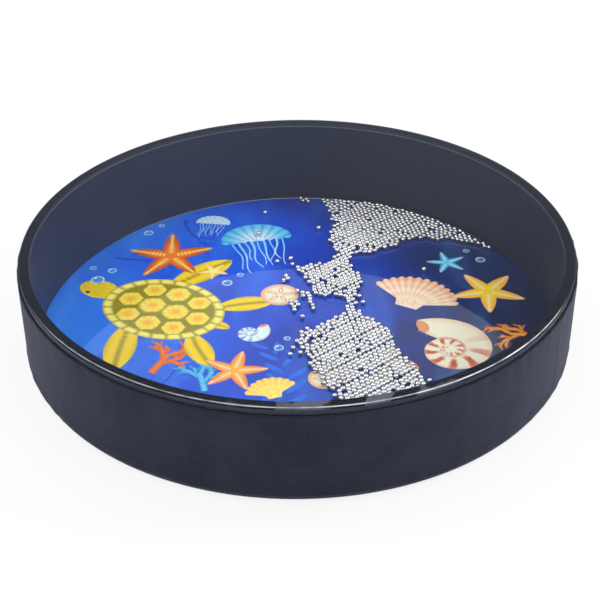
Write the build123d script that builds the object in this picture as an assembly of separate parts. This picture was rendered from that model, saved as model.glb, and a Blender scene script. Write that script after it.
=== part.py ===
from build123d import *
import math
import os
import random

# Ocean drum: a fibreboard hoop with a film glued over each edge, a cloth band round
# the outside, and loose steel beads that roll on the lower film.
# Millimetres, +Z up. The origin is the middle of the underside, and -Y is the front.

# Shell and heads
DRUM_DIAMETER = 406.0   # over the cloth
DRUM_DEPTH = 75.0       # over both heads
SHELL_WALL = 7.0
RIM_BEVEL = 2.0         # on the shell's outer edges, which the films bend over
RIM_EASE = 1.0          # on the shell's inner edges
FILM_THICKNESS = 0.3
COLLAR_DEPTH = 16.0     # how far each film comes along the outside of the shell
GLUE_LINE = 0.3         # between shell and film, and between film and cloth

# Cloth band
CLOTH_THICKNESS = 1.1
UPPER_STRIP = 6.5       # bare collar above the cloth
LOWER_STRIP = 5.0       # bare collar below the cloth

# Beads
BEAD_COUNT_ACROSS = 92  # side by side from wall to wall, which sets their size
BEAD_SPACING = 0.21     # between neighbours in a drift
BEAD_LIFT = 0.3         # between a bead and the film that it rolls on
WALL_CLEARANCE = 0.5    # between the shell and a bead at the end of its roll
ROW_ANGLE = 40.0        # the way that the rows roll, from +X
LINES_PER_ROW = 5
ROW_GAP_SHARE = 0.024   # of a bead pitch, added between two rows so that they pass each other
VACANT_SHARE = 0.04     # gaps in a drift
LAYOUT_SEED = 7
BALL_SIDE_COUNT = 5     # a ball is two rings of so many corners, with one corner above and one below

# Where the beads lie, in bead pitches from the middle. An outline may pass the wall, where the beads stop.
REAR_DRIFT = [(4.3, 47.6), (23.8, 44.0), (42.9, 26.2), (38.6, 23.6), (34.0, 27.1), (26.2, 29.0), (21.4, 28.1),
              (17.1, 24.8), (12.4, 22.6), (8.6, 23.1), (6.7, 26.7), (6.7, 30.5), (8.1, 36.2), (6.4, 41.9)]
MIDDLE_DRIFT = [(7.6, 23.1), (10.0, 22.9), (10.7, 17.1), (12.4, 13.1), (11.2, 9.0), (10.2, 2.9), (9.0, 2.9),
                (8.8, 7.1), (2.9, 9.0), (2.1, 12.9), (0.2, 16.7), (1.9, 18.6), (6.7, 20.0)]
FRONT_DRIFT = [(10.5, 4.0), (11.7, 1.0), (13.8, 0.0), (15.7, -2.9), (17.4, -8.1), (17.9, -11.9),
               (19.8, -14.0), (21.0, -20.0), (24.8, -29.8), (26.7, -47.6), (14.8, -47.6), (10.0, -31.0),
               (7.1, -23.8), (4.5, -19.0), (2.1, -13.8), (2.4, -11.0), (0.2, -8.6), (0.5, -3.3), (4.3, -2.6),
               (5.7, 0.0)]
LOOSE_GROUPS = [[(-1.2, 10.0), (-0.2, 10.2), (2.4, 8.8), (2.4, 7.1), (0.7, 7.9)],
                [(1.7, 6.9), (3.3, 6.2), (3.6, 2.9), (2.1, 3.6)],
                [(-1.2, 6.4), (0.2, 6.4), (-0.2, 1.9), (-1.2, 2.4)],
                [(0.5, 46.2), (2.6, 46.2), (2.6, 43.3), (1.0, 43.6)]]
STRAY_BEADS = [(-6.7, 39.3), (-8.3, 31.0), (4.0, 32.9), (-4.0, 20.5), (-1.7, 20.7), (-0.7, 19.0), (0.0, 17.6),
               (-2.4, 15.0), (-1.7, 13.8), (-2.9, 13.1), (24.3, 16.9), (12.6, 5.5), (22.4, -18.6),
               (-1.0, -9.0), (-1.2, -11.0), (0.7, -10.5), (0.5, 0.5)]

# Fits of shell, films and cloth
cloth_outer = DRUM_DIAMETER / 2
cloth_inner = cloth_outer - CLOTH_THICKNESS
collar_outer = cloth_inner - GLUE_LINE
collar_inner = collar_outer - FILM_THICKNESS
shell_outer = collar_inner - GLUE_LINE
shell_inner = shell_outer - SHELL_WALL
shell_bottom = FILM_THICKNESS + GLUE_LINE
shell_height = DRUM_DEPTH - 2 * shell_bottom
cloth_height = DRUM_DEPTH - UPPER_STRIP - LOWER_STRIP
bevel_growth = 2 - math.sqrt(2)   # of a bevel's leg, for each millimetre that its face moves out
inner_bevel = RIM_BEVEL + GLUE_LINE * bevel_growth
outer_bevel = inner_bevel + FILM_THICKNESS * bevel_growth

# Fits of the beads. A reach or step is in bead pitches.
bead_pitch = (2 * (shell_inner - WALL_CLEARANCE) + BEAD_SPACING) / BEAD_COUNT_ACROSS
bead_radius = (bead_pitch - BEAD_SPACING) / 2
bead_height = FILM_THICKNESS + BEAD_LIFT + bead_radius
bead_reach = (BEAD_COUNT_ACROSS - 1) / 2
line_step = math.sqrt(3) / 2
row_step = (LINES_PER_ROW - 1) * line_step + 1 + ROW_GAP_SHARE


def shell():
    """The hoop, with its outer edges bevelled for the films and its inner edges eased."""
    wall = Rectangle(SHELL_WALL, shell_height, align=(Align.MIN, Align.MIN))
    section = Pos(shell_inner, shell_bottom) * wall
    section = chamfer(section.vertices().group_by(Axis.X)[-1], RIM_BEVEL)
    section = chamfer(section.vertices().group_by(Axis.X)[0], RIM_EASE)
    return revolve(Plane.XZ * section, Axis.Z)


def cap_section(radius, height, bevel):
    """Half section of a solid cap, from the axis out, with its upper outer corner bevelled."""
    cap = Rectangle(radius, height, align=(Align.MIN, Align.MIN))
    corner = cap.vertices().sort_by_distance((radius, height))[0]
    return chamfer(corner, bevel)


def upper_head():
    """A film: a flat disc that bends over the shell's bevelled edge into a collar."""
    outside = cap_section(collar_outer, COLLAR_DEPTH, outer_bevel)
    within = cap_section(collar_inner, COLLAR_DEPTH - FILM_THICKNESS, inner_bevel)
    collar_end = DRUM_DEPTH - COLLAR_DEPTH
    return revolve(Plane.XZ * Pos(0, collar_end) * (outside - within), Axis.Z)


def lower_head():
    """The same film, turned over on the other edge."""
    return mirror(upper_head(), about=Plane.XY.offset(DRUM_DEPTH / 2))


def fabric_cover():
    """The cloth band round the outside, over the ends of both collars."""
    band = Rectangle(CLOTH_THICKNESS, cloth_height, align=(Align.MIN, Align.MIN))
    return revolve(Plane.XZ * Pos(cloth_inner, LOWER_STRIP) * band, Axis.Z)


def inside(outline, x, y):
    """True if the point is inside the closed outline."""
    crossings = 0
    for (x0, y0), (x1, y1) in zip(outline, outline[1:] + outline[:1]):
        if (y0 > y) != (y1 > y) and x < x0 + (y - y0) * (x1 - x0) / (y1 - y0):
            crossings += 1
    return crossings % 2 == 1


def in_plan(along, across):
    """Plan place of a point given along the rows and across them."""
    turn = math.radians(ROW_ANGLE)
    x = along * math.cos(turn) - across * math.sin(turn)
    y = along * math.sin(turn) + across * math.cos(turn)
    return x, y


def row_places(row):
    """Every place in a row where a bead can lie: lines of a close-packed layer, up to the wall.
    Gives the place along and across the rows, and if it is one of every third, no two of which touch."""
    for line_in_row in range(LINES_PER_ROW):
        line = row * LINES_PER_ROW + line_in_row
        across = row * row_step + (line_in_row - (LINES_PER_ROW - 1) / 2) * line_step
        if abs(across) < bead_reach:
            half_chord = math.sqrt(bead_reach**2 - across**2)
            shift = (line % 2) / 2
            first = math.ceil(-half_chord - shift)
            last = math.floor(half_chord - shift)
            for step in range(first, last + 1):
                along = step + shift
                every_third = (along - 1.5 * line) % 3 == 0
                yield along, across, every_third


def bead_rows():
    """The beads of each row that has any, from the front: place along and across the rows, and if it is made.
    One bead in three of a drift is made and stands for its neighbours. Stray beads are all made."""
    outer_row = math.floor(bead_reach / row_step + 0.5)
    places = {row: list(row_places(row)) for row in range(-outer_row, outer_row + 1)}
    everywhere = [(along, across) for row in places.values() for along, across, every_third in row]
    strays = set()
    for stray in STRAY_BEADS:
        strays.add(min(everywhere, key=lambda place: math.dist(in_plan(*place), stray)))
    drifts = [REAR_DRIFT, MIDDLE_DRIFT, FRONT_DRIFT] + LOOSE_GROUPS
    gaps = random.Random(LAYOUT_SEED)
    rows = []
    for row in places.values():
        beads = []
        for along, across, every_third in row:
            vacant = gaps.random() < VACANT_SHARE
            drifted = any(inside(outline, *in_plan(along, across)) for outline in drifts)
            if (along, across) in strays:
                beads.append((along, across, True))
            elif drifted and not vacant:
                beads.append((along, across, every_third))
        if beads:
            rows.append(beads)
    return rows


def ball():
    """A bead of flat faces round the origin: a corner above, a corner below and two rings between."""
    ring_height = bead_radius / math.sqrt(5)
    ring_radius = 2 * ring_height
    above = (0, 0, bead_radius)
    below = (0, 0, -bead_radius)
    upper = []
    lower = []
    for corner in range(BALL_SIDE_COUNT):
        angle = 2 * math.pi * corner / BALL_SIDE_COUNT
        between = angle + math.pi / BALL_SIDE_COUNT
        upper.append((ring_radius * math.cos(angle), ring_radius * math.sin(angle), ring_height))
        lower.append((ring_radius * math.cos(between), ring_radius * math.sin(between), -ring_height))
    triangles = []
    for corner in range(BALL_SIDE_COUNT):
        after = (corner + 1) % BALL_SIDE_COUNT
        triangles.append((above, upper[corner], upper[after]))
        triangles.append((upper[corner], lower[corner], upper[after]))
        triangles.append((lower[corner], lower[after], upper[after]))
        triangles.append((below, lower[after], lower[corner]))
    faces = [Face(Wire.make_polygon(triangle)) for triangle in triangles]
    return Solid(Shell(faces))


def bead_row(beads):
    """The made beads of a row, as separate balls."""
    bead = ball()
    row = []
    for along, across, made in beads:
        if made:
            x, y = in_plan(along * bead_pitch, across * bead_pitch)
            row.append(bead.moved(Location((x, y, bead_height))))
    return Compound(row)


os.makedirs("parts", exist_ok=True)
export_step(shell(), "parts/shell.step")
export_step(upper_head(), "parts/upper_head.step")
export_step(lower_head(), "parts/lower_head.step")
export_step(fabric_cover(), "parts/fabric_cover.step")
for number, beads in enumerate(bead_rows(), start=1):
    export_step(bead_row(beads), f"parts/bead_row_{number:02d}.step")
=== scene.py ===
import math
import random

import bmesh
import bpy
import numpy as np
from mathutils import Matrix, Vector
from mathutils.geometry import delaunay_2d_cdt


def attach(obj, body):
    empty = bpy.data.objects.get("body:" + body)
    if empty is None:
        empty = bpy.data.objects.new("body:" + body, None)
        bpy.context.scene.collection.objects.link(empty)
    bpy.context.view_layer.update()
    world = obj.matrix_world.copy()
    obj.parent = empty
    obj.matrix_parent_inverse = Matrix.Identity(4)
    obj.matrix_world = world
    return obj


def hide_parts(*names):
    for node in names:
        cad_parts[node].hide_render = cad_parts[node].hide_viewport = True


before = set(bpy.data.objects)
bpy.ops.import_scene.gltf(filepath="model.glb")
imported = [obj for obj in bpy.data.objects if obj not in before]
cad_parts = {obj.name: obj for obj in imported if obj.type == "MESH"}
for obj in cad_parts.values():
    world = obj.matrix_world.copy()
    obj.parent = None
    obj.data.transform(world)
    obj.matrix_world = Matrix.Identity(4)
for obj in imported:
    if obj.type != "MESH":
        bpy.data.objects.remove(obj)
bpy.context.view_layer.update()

# Sizes in millimetres. Those of shell, films and cloth are the solids' own, with their bevels made round.
MM = 0.001
DEPTH = 75.0
SHELL_OUTER = 201.0
SHELL_INNER = 194.0
SHELL_BOTTOM = 0.6
SHELL_TOP = DEPTH - SHELL_BOTTOM
RIM_ROUND = 1.9
RIM_EASE = 1.0
FILM = 0.3
FILM_BEND = 2.5
COLLAR_OUTER = 201.6
COLLAR_INNER = COLLAR_OUTER - FILM
COLLAR_DEPTH = 16.0
BEND_START = COLLAR_OUTER - FILM_BEND
CLOTH_OUTER = 203.0
CLOTH_INNER = 201.9
CLOTH_BOTTOM = 5.0
CLOTH_TOP = 68.5

TURN = 2 * math.pi
ROUND_SEGMENTS = 480
WHITE = (1, 1, 1, 1)


# Meshes

def place(name, mesh, *materials):
    """Adds a mesh to the scene as an object with these materials."""
    for material in materials:
        mesh.materials.append(material)
    piece = bpy.data.objects.new(name, mesh)
    bpy.context.scene.collection.objects.link(piece)
    return piece


def make_mesh(name, points, faces, sharp_angle=35.0):
    """A mesh from points in millimetres, shaded smooth but for edges sharper than the angle."""
    mesh = bpy.data.meshes.new(name)
    mesh.from_pydata([(x * MM, y * MM, z * MM) for x, y, z in points], [], faces)
    mesh.update()
    mesh.shade_smooth()
    mesh.set_sharp_from_angle(angle=math.radians(sharp_angle))
    return mesh


def polar(reach, angle):
    """A point by its distance from the middle and its angle."""
    return reach * math.cos(angle), reach * math.sin(angle)


def arc(centre_r, centre_z, radius, start, end, steps):
    """Points of a profile's rounded corner, from one angle to another in degrees."""
    points = []
    for step in range(steps + 1):
        r, z = polar(radius, math.radians(start + (end - start) * step / steps))
        points.append((centre_r + r, centre_z + z))
    return points


def revolve(profile):
    """Points of a profile turned round the Z axis, and their rings.
    A profile's point on the axis is a pole."""
    points = []
    rings = []
    for r, z in profile:
        if r == 0:
            rings.append([len(points)] * ROUND_SEGMENTS)
            points.append((0, 0, z))
        else:
            rings.append([len(points) + k for k in range(ROUND_SEGMENTS)])
            points += [(*polar(r, TURN * k / ROUND_SEGMENTS), z) for k in range(ROUND_SEGMENTS)]
    return points, rings


def skin(rings):
    """Faces between neighbouring rings of points, with triangles at a pole."""
    faces = []
    for first, second in zip(rings, rings[1:]):
        for k in range(ROUND_SEGMENTS):
            after = (k + 1) % ROUND_SEGMENTS
            corners = [second[k], second[after], first[after], first[k]]
            faces.append([c for n, c in enumerate(corners) if c != corners[n - 1]])
    return faces


def smooth(low, high, value):
    """0 below low, 1 above high, and a smooth rise between."""
    share = min(1.0, max(0.0, (value - low) / (high - low)))
    return share * share * (3 - 2 * share)


def bell(value, middle, width):
    """1 at the middle, with a smooth fall on both sides."""
    return math.exp(-((value - middle) / width) ** 2)


# Materials

def new_material(name):
    """A node material, with its tree and its Principled shader."""
    material = bpy.data.materials.new(name)
    material.use_nodes = True
    return material, material.node_tree, material.node_tree.nodes["Principled BSDF"]


def fill(tree, node, inputs):
    """Sets a node's inputs. Each is a value, or another node's output to link."""
    for name, value in inputs.items():
        if isinstance(value, bpy.types.NodeSocket):
            tree.links.new(value, node.inputs[name])
        else:
            node.inputs[name].default_value = value


def add(tree, kind, inputs=None, **settings):
    """Adds a node with these inputs and settings."""
    made = tree.nodes.new(kind)
    for name, value in settings.items():
        setattr(made, name, value)
    fill(tree, made, inputs or {})
    return made


def ramp(tree, value, stops):
    """A colour ramp over a value, from (position, colour) stops."""
    made = add(tree, "ShaderNodeValToRGB", {"Fac": value})
    elements = made.color_ramp.elements
    while len(elements) < len(stops):
        elements.new(0.5)
    for element, (position, colour) in zip(elements, stops):
        element.position = position
        element.color = (*colour, 1)
    return made.outputs["Color"]


def maths(tree, operation, first, second=0.0, clamp=False):
    """A Math node's result."""
    return add(tree, "ShaderNodeMath", {0: first, 1: second}, operation=operation, use_clamp=clamp).outputs[0]


def remap(tree, value, low, high, to_low=0.0, to_high=1.0):
    """A value's place between low and high, as a number from to_low to to_high."""
    return add(tree, "ShaderNodeMapRange", {"Value": value, "From Min": low, "From Max": high,
                                            "To Min": to_low, "To Max": to_high}).outputs["Result"]


def mix_colour(tree, factor, first, second, blend="MIX"):
    """A mix of two colours, each red, green and blue or another node's output."""
    def colour(value):
        return value if isinstance(value, bpy.types.NodeSocket) else (*value, 1)
    inputs = {0: factor, 6: colour(first), 7: colour(second)}
    return add(tree, "ShaderNodeMix", inputs, data_type="RGBA", blend_type=blend).outputs[2]


def mix_shaders(tree, factor, first, second):
    """A mix of two shader nodes."""
    return add(tree, "ShaderNodeMixShader", {0: factor, 1: first.outputs[0], 2: second.outputs[0]})


def set_surface(tree, shader):
    """Makes a shader node the material's surface."""
    fill(tree, tree.nodes["Material Output"], {"Surface": shader.outputs[0]})


def object_coordinates(tree):
    """The piece's own coordinates, in metres."""
    return add(tree, "ShaderNodeTexCoord").outputs["Object"]


def apart(tree, vector):
    """A vector's X, Y and Z."""
    return add(tree, "ShaderNodeSeparateXYZ", {"Vector": vector}).outputs


def length(tree, vector):
    """A vector's length."""
    return add(tree, "ShaderNodeVectorMath", {0: vector}, operation="LENGTH").outputs["Value"]


def noise(tree, scale, detail=3.0, stretch=(1, 1, 1), roughness=0.55):
    """Noise over the piece's own coordinates; scale is in cells a metre."""
    spot = add(tree, "ShaderNodeMapping", {"Vector": object_coordinates(tree), "Scale": stretch}).outputs[0]
    return add(tree, "ShaderNodeTexNoise", {"Vector": spot, "Scale": scale, "Detail": detail,
                                            "Roughness": roughness}).outputs["Fac"]


def grey(value):
    """A colour without hue."""
    return value, value, value


def srgb(red, green, blue):
    """A colour given as 0 to 255 on screen, as the linear values that Blender takes."""
    def linear(value):
        value = value / 255
        return value / 12.92 if value <= 0.04045 else ((value + 0.055) / 1.055) ** 2.4
    return linear(red), linear(green), linear(blue)


def lerp(first, second, share):
    """Between two colours; the share is kept within 0 to 1."""
    share = min(1.0, max(0.0, share))
    return tuple(a + (b - a) * share for a, b in zip(first, second))


# Shell: black fibreboard, with its plies showing on the edge and glue spots under the film, whose pale grey
# is a painted reflection

PLY_PITCH = 1.25
PLY_GROOVES = (195.6, 196.6, 197.6, 198.5)
GROOVE_HALF = 0.16
GROOVE_DEPTH = 0.14
SEAM_HEIGHT = SHELL_TOP - 3.5
SEAM_HALF = 0.45
SEAM_RELIEF = 0.2


def board_material():
    material, tree, shader = new_material("black_fibreboard")
    fibres = noise(tree, 700, detail=4, stretch=(1, 1, 0.2))
    broad = noise(tree, 12, detail=2)
    tone = mix_colour(tree, fibres, (0.013, 0.016, 0.036), (0.021, 0.025, 0.054))
    tone = mix_colour(tree, maths(tree, "MULTIPLY", broad, 0.6), tone, (0.019, 0.022, 0.05))
    dullness = ramp(tree, fibres, [(0.3, grey(0.4)), (0.75, grey(0.55))])
    fill(tree, shader, {"Base Color": tone, "Roughness": dullness, "Specular IOR Level": 0.3})
    return material


def seam_material():
    """A pale line on a low ridge inside the shell, just under its edge, blotchy in tone."""
    material, tree, shader = new_material("pale_seam_line")
    blotches = noise(tree, 160, detail=3)
    tone = mix_colour(tree, blotches, (0.06, 0.063, 0.11), (0.15, 0.16, 0.25))
    fill(tree, shader, {"Base Color": tone, "Roughness": 0.6})
    return material


def edge_material():
    """The shell's edge under the film: dark plies, with paler spots at the front right,
    where the glue has let go; their grey is a painted reflection of the film lifted over the gap."""
    material, tree, shader = new_material("glued_board_edge")
    coordinates = object_coordinates(tree)
    spot = apart(tree, coordinates)
    front = remap(tree, spot["Y"], -0.165, -0.185)
    right = remap(tree, spot["X"], -0.06, 0.0)
    # Painted reflection: where the glue has let go, the spots are painted pale grey for the film reflecting
    # over the air gap, only at the front right.
    loose = remap(tree, noise(tree, 62, detail=1.0, roughness=0.4), 0.5, 0.53)
    loose = maths(tree, "MULTIPLY", loose, maths(tree, "MULTIPLY", front, right))
    plan = add(tree, "ShaderNodeVectorMath", {0: coordinates, 1: (1, 1, 0)}, operation="MULTIPLY").outputs[0]
    rounds = maths(tree, "MULTIPLY", length(tree, plan), TURN / (PLY_PITCH * MM))
    plies = remap(tree, maths(tree, "SINE", rounds), 0.6, 1.0)
    fibres = noise(tree, 1500, detail=2)
    bonded = mix_colour(tree, fibres, (0.002, 0.0024, 0.004), (0.006, 0.0066, 0.01))
    bonded = mix_colour(tree, maths(tree, "MULTIPLY", plies, 0.8), bonded, (0.042, 0.044, 0.062))
    tone = mix_colour(tree, loose, bonded, (0.11, 0.115, 0.14))
    fill(tree, shader, {"Base Color": tone, "Roughness": 0.45, "Specular IOR Level": 0.0})
    return material


def make_shell():
    seam_bottom = SEAM_HEIGHT - SEAM_HALF
    seam_top = SEAM_HEIGHT + SEAM_HALF
    inner_low = arc(SHELL_INNER + RIM_EASE, SHELL_BOTTOM + RIM_EASE, RIM_EASE, 270, 180, 4)
    seam = [(SHELL_INNER, seam_bottom), (SHELL_INNER - SEAM_RELIEF, SEAM_HEIGHT - SEAM_HALF / 2),
            (SHELL_INNER - SEAM_RELIEF, SEAM_HEIGHT + SEAM_HALF / 2), (SHELL_INNER, seam_top)]
    inner_high = arc(SHELL_INNER + RIM_EASE, SHELL_TOP - RIM_EASE, RIM_EASE, 180, 90, 4)
    grooves = []
    for radius in PLY_GROOVES:
        grooves += [(radius - GROOVE_HALF, SHELL_TOP), (radius, SHELL_TOP - GROOVE_DEPTH),
                    (radius + GROOVE_HALF, SHELL_TOP)]
    outer_high = arc(SHELL_OUTER - RIM_ROUND, SHELL_TOP - RIM_ROUND, RIM_ROUND, 90, 0, 9)
    outer_low = arc(SHELL_OUTER - RIM_ROUND, SHELL_BOTTOM + RIM_ROUND, RIM_ROUND, 0, -90, 6)
    points, rings = revolve(inner_low + seam + inner_high + grooves + outer_high + outer_low)
    mesh = make_mesh("board_shell", points, skin(rings + rings[:1]), sharp_angle=50)
    shell = place("board_shell", mesh, board_material(), edge_material(), seam_material())
    for polygon in mesh.polygons:
        height = polygon.center.z / MM
        on_wall = math.hypot(*polygon.center.xy) < (SHELL_INNER + RIM_EASE) * MM
        if height > seam_top:
            polygon.material_index = 1
        elif height > seam_bottom and on_wall:
            polygon.material_index = 2
    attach(shell, "drum")
    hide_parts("shell")


# Clear head

FLAT_RINGS = [60, 120, 160, 185]
# Angle and width, in degrees, of the whitened fold and its painted highlight on the bend.
CREASE_HIGHLIGHT_ANGLE = 48
CREASE_HIGHLIGHT_WIDTH = 8


def film_material(name, straight_on, aslant, roughness, haze_and_highlight, haze_and_highlight_colour):
    """A clear film: see-through, with a mirror sheen that grows as it's seen aslant, and a hazy white layer,
    haze_and_highlight, which is a share or a function that makes one in the material's tree; on the bend it
    is the whitened fold with a painted highlight."""
    material, tree, shader = new_material(name)
    fill(tree, shader, {"Base Color": haze_and_highlight_colour, "Roughness": 0.5})
    clear = add(tree, "ShaderNodeBsdfTransparent", {"Color": (0.97, 0.975, 0.98, 1)})
    gloss = add(tree, "ShaderNodeBsdfGlossy", {"Color": (0.72, 0.82, 1, 1), "Roughness": roughness})
    tilt = add(tree, "ShaderNodeLayerWeight", {"Blend": 0.5}).outputs["Facing"]
    mirror = maths(tree, "MULTIPLY", maths(tree, "POWER", tilt, 5.0), aslant)
    mirror = maths(tree, "ADD", mirror, straight_on, clamp=True)
    body = mix_shaders(tree, haze_and_highlight(tree) if callable(haze_and_highlight) else haze_and_highlight, clear, shader)
    set_surface(tree, mix_shaders(tree, mirror, body, gloss))
    return material


def crease_whitening_and_highlight(tree):
    """The bent film's hazy white line along its fold at the front, broken and brightest at the right: partly
    the whitened film, partly a painted highlight.
    """
    spot = apart(tree, object_coordinates(tree))
    # Painted highlight: the white line is kept to the front and made brightest at the right, where the lamps
    # light it most.
    front = remap(tree, spot["Y"], -0.08, -0.13)
    right = remap(tree, spot["X"], -0.2, 0.12, 0.3, 1.15)
    breaks = remap(tree, noise(tree, 75, detail=4, roughness=0.6), 0.34, 0.56, 0.25, 1.0)
    white = add(tree, "ShaderNodeAttribute", attribute_name="crease_and_highlight").outputs["Fac"]
    for share in (front, right, breaks):
        white = maths(tree, "MULTIPLY", white, share)
    return maths(tree, "ADD", white, 0.004, clamp=True)


def bend_material():
    """The film where it is bent and glued, with a painted highlight on its whitened fold."""
    return film_material("clear_film_bend", straight_on=0.005, aslant=0.14, roughness=0.07,
                         haze_and_highlight=crease_whitening_and_highlight, haze_and_highlight_colour=(0.9, 0.9, 0.95, 1))


def film_profile():
    """Half section of the upper film: from the axis over the top, down the collar and back inside."""
    end = DEPTH - COLLAR_DEPTH
    over = [(r, DEPTH) for r in FLAT_RINGS] + arc(BEND_START, DEPTH - FILM_BEND, FILM_BEND, 90, 0, 30)
    back = arc(BEND_START, DEPTH - FILM_BEND, FILM_BEND - FILM, 0, 90, 10)
    back += [(r, DEPTH - FILM) for r in FLAT_RINGS[::-1]]
    return [(0, DEPTH)] + over + [(COLLAR_OUTER, end), (COLLAR_INNER, end)] + back + [(0, DEPTH - FILM)]


def make_clear_head():
    points, rings = revolve(film_profile())
    mesh = make_mesh("clear_head", points, skin(rings))
    pane = film_material("clear_film", straight_on=0.0035, aslant=0.3, roughness=0.02,
                         haze_and_highlight=0.003, haze_and_highlight_colour=(0.75, 0.78, 0.88, 1))
    head = place("clear_head", mesh, pane, bend_material())
    for polygon in mesh.polygons:
        if math.hypot(*polygon.center.xy) > BEND_START * MM:
            polygon.material_index = 1
    # Where the whitened fold and its painted highlight lie: a band at a set angle round the outside of the
    # bend.
    crease_and_highlight = []
    for vertex in mesh.vertices:
        out = math.hypot(*vertex.co.xy) / MM - BEND_START
        up = vertex.co.z / MM - (DEPTH - FILM_BEND)
        outside = out > 0 and up > 0 and math.hypot(out, up) > FILM_BEND - FILM / 2
        angle = math.degrees(math.atan2(up, out))
        crease_and_highlight.append(bell(angle, CREASE_HIGHLIGHT_ANGLE, CREASE_HIGHLIGHT_WIDTH) if outside else 0.0)
    mesh.attributes.new("crease_and_highlight", "FLOAT", "POINT").data.foreach_set("value", crease_and_highlight)
    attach(head, "drum")
    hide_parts("upper_head")


# Printed head: a film with a sea print of animals, shells, coral, kelp and bubbles

PRINT_RADIUS = 195.0
PRINT_MARGIN = 0.2
OUTLINE_SPACING = 1.6
INK_SPACING = 1.5
INK_ROW_SHARE = 0.866
INK_MARGIN = 2
KELP_STEP = 2
CORAL_STEP = 1.8

YELLOW = srgb(250, 214, 20)
LEMON = srgb(255, 240, 120)
OLIVE = srgb(150, 140, 20)
ORANGE = srgb(246, 128, 18)
AMBER = srgb(255, 178, 60)
RUST = srgb(196, 74, 22)
CREAM = srgb(244, 236, 208)
PEACH = srgb(236, 178, 128)
CLAY = lerp(PEACH, RUST, 0.35)
CYAN = srgb(96, 206, 244)
PALE = srgb(222, 246, 255)
TEAL = srgb(28, 132, 190)
DEEP = srgb(14, 34, 116)
WAVE = srgb(34, 108, 226)
SHADE = srgb(18, 74, 200)
DIM_WAVE = srgb(28, 62, 138)
DIM_SHADE = srgb(16, 40, 100)


class Motif:
    """A printed shape: its outline in millimetres, and a function that gives its ink at a point."""

    def __init__(self, outline, ink):
        self.outline = anticlockwise([to_print(x, y) for x, y in outline])
        self.ink = ink
        self.low = (min(x for x, y in self.outline), min(y for x, y in self.outline))
        self.high = (max(x for x, y in self.outline), max(y for x, y in self.outline))

    def holds(self, x, y):
        """True if the point is inside the outline."""
        if not (self.low[0] <= x <= self.high[0] and self.low[1] <= y <= self.high[1]):
            return False
        return inside(self.outline, x, y)


def anticlockwise(outline):
    """The outline, turned round if it goes the other way."""
    area = sum(x0 * y1 - x1 * y0 for (x0, y0), (x1, y1) in zip(outline, outline[1:] + outline[:1]))
    return outline if area > 0 else outline[::-1]


def to_print(x, y):
    """The point itself, or the nearest on the print's edge if it's outside."""
    limit = PRINT_RADIUS - PRINT_MARGIN
    reach = math.hypot(x, y)
    return (x, y) if reach <= limit else (x * limit / reach, y * limit / reach)


def inside(outline, x, y):
    """True if the point is inside the closed outline."""
    crossings = 0
    for (x0, y0), (x1, y1) in zip(outline, outline[1:] + outline[:1]):
        if (y0 > y) != (y1 > y) and x < x0 + (y - y0) * (x1 - x0) / (y1 - y0):
            crossings += 1
    return crossings % 2 == 1


def motif_frame(middle, turn):
    """The way from a motif's own coordinates to the print's, and back. The turn is in degrees."""
    cosine = math.cos(math.radians(turn))
    sine = math.sin(math.radians(turn))

    def at(u, v):
        return middle[0] + u * cosine - v * sine, middle[1] + u * sine + v * cosine

    def local(x, y):
        x -= middle[0]
        y -= middle[1]
        return x * cosine + y * sine, y * cosine - x * sine
    return at, local


def resample(outline):
    """The closed outline with points added so that none are farther apart than the spacing."""
    points = []
    for (x0, y0), (x1, y1) in zip(outline, outline[1:] + outline[:1]):
        steps = max(1, math.ceil(math.hypot(x1 - x0, y1 - y0) / OUTLINE_SPACING))
        points += [(x0 + (x1 - x0) * n / steps, y0 + (y1 - y0) * n / steps) for n in range(steps)]
    return points


def ellipse(middle, wide, high, turn=0.0, count=None):
    """An oval's outline, from its half width and half height."""
    count = count or max(10, round(TURN * max(wide, high) / OUTLINE_SPACING))
    at = motif_frame(middle, turn)[0]
    return [at(wide * math.cos(TURN * n / count), high * math.sin(TURN * n / count)) for n in range(count)]


def disc(middle, radius, ink, count=None):
    """A round spot."""
    return Motif(ellipse(middle, radius, radius, count=count), ink)


def plain(colour, alpha=1.0):
    """The same ink all over."""
    return lambda x, y: (*colour, alpha)


def sides(spine, half_widths):
    """The points on the left and on the right of a line of points, each at its own half width."""
    left = []
    right = []
    for n, ((x, y), half) in enumerate(zip(spine, half_widths)):
        before = spine[max(0, n - 1)]
        after = spine[min(len(spine) - 1, n + 1)]
        ahead = (after[0] - before[0], after[1] - before[1])
        stride = math.hypot(*ahead)
        across = (-ahead[1] / stride, ahead[0] / stride)
        left.append((x + across[0] * half, y + across[1] * half))
        right.append((x - across[0] * half, y - across[1] * half))
    return left, right


def off_line(spine, x, y):
    """How far a point is from the nearest of a line's points."""
    return min(math.hypot(x - px, y - py) for px, py in spine)


def ribbon(spine, start_width, end_width, colour, edge_colour, alpha=1.0):
    """A tapered band along a line of points, pointed at its far end, paler along the middle."""
    last = len(spine) - 1
    half_widths = [(start_width + (end_width - start_width) * n / last) / 2 for n in range(last + 1)]
    left, right = sides(spine, half_widths)
    ahead = (spine[-1][0] - spine[-2][0], spine[-1][1] - spine[-2][1])
    stride = math.hypot(*ahead)
    tip = (spine[-1][0] + ahead[0] / stride * end_width / 2, spine[-1][1] + ahead[1] / stride * end_width / 2)

    def ink(x, y):
        share = smooth(0.1, 0.55, off_line(spine, x, y) / max(start_width, end_width))
        return (*lerp(colour, edge_colour, share), alpha)
    return Motif(left + [tip] + right[::-1], ink)


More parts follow.
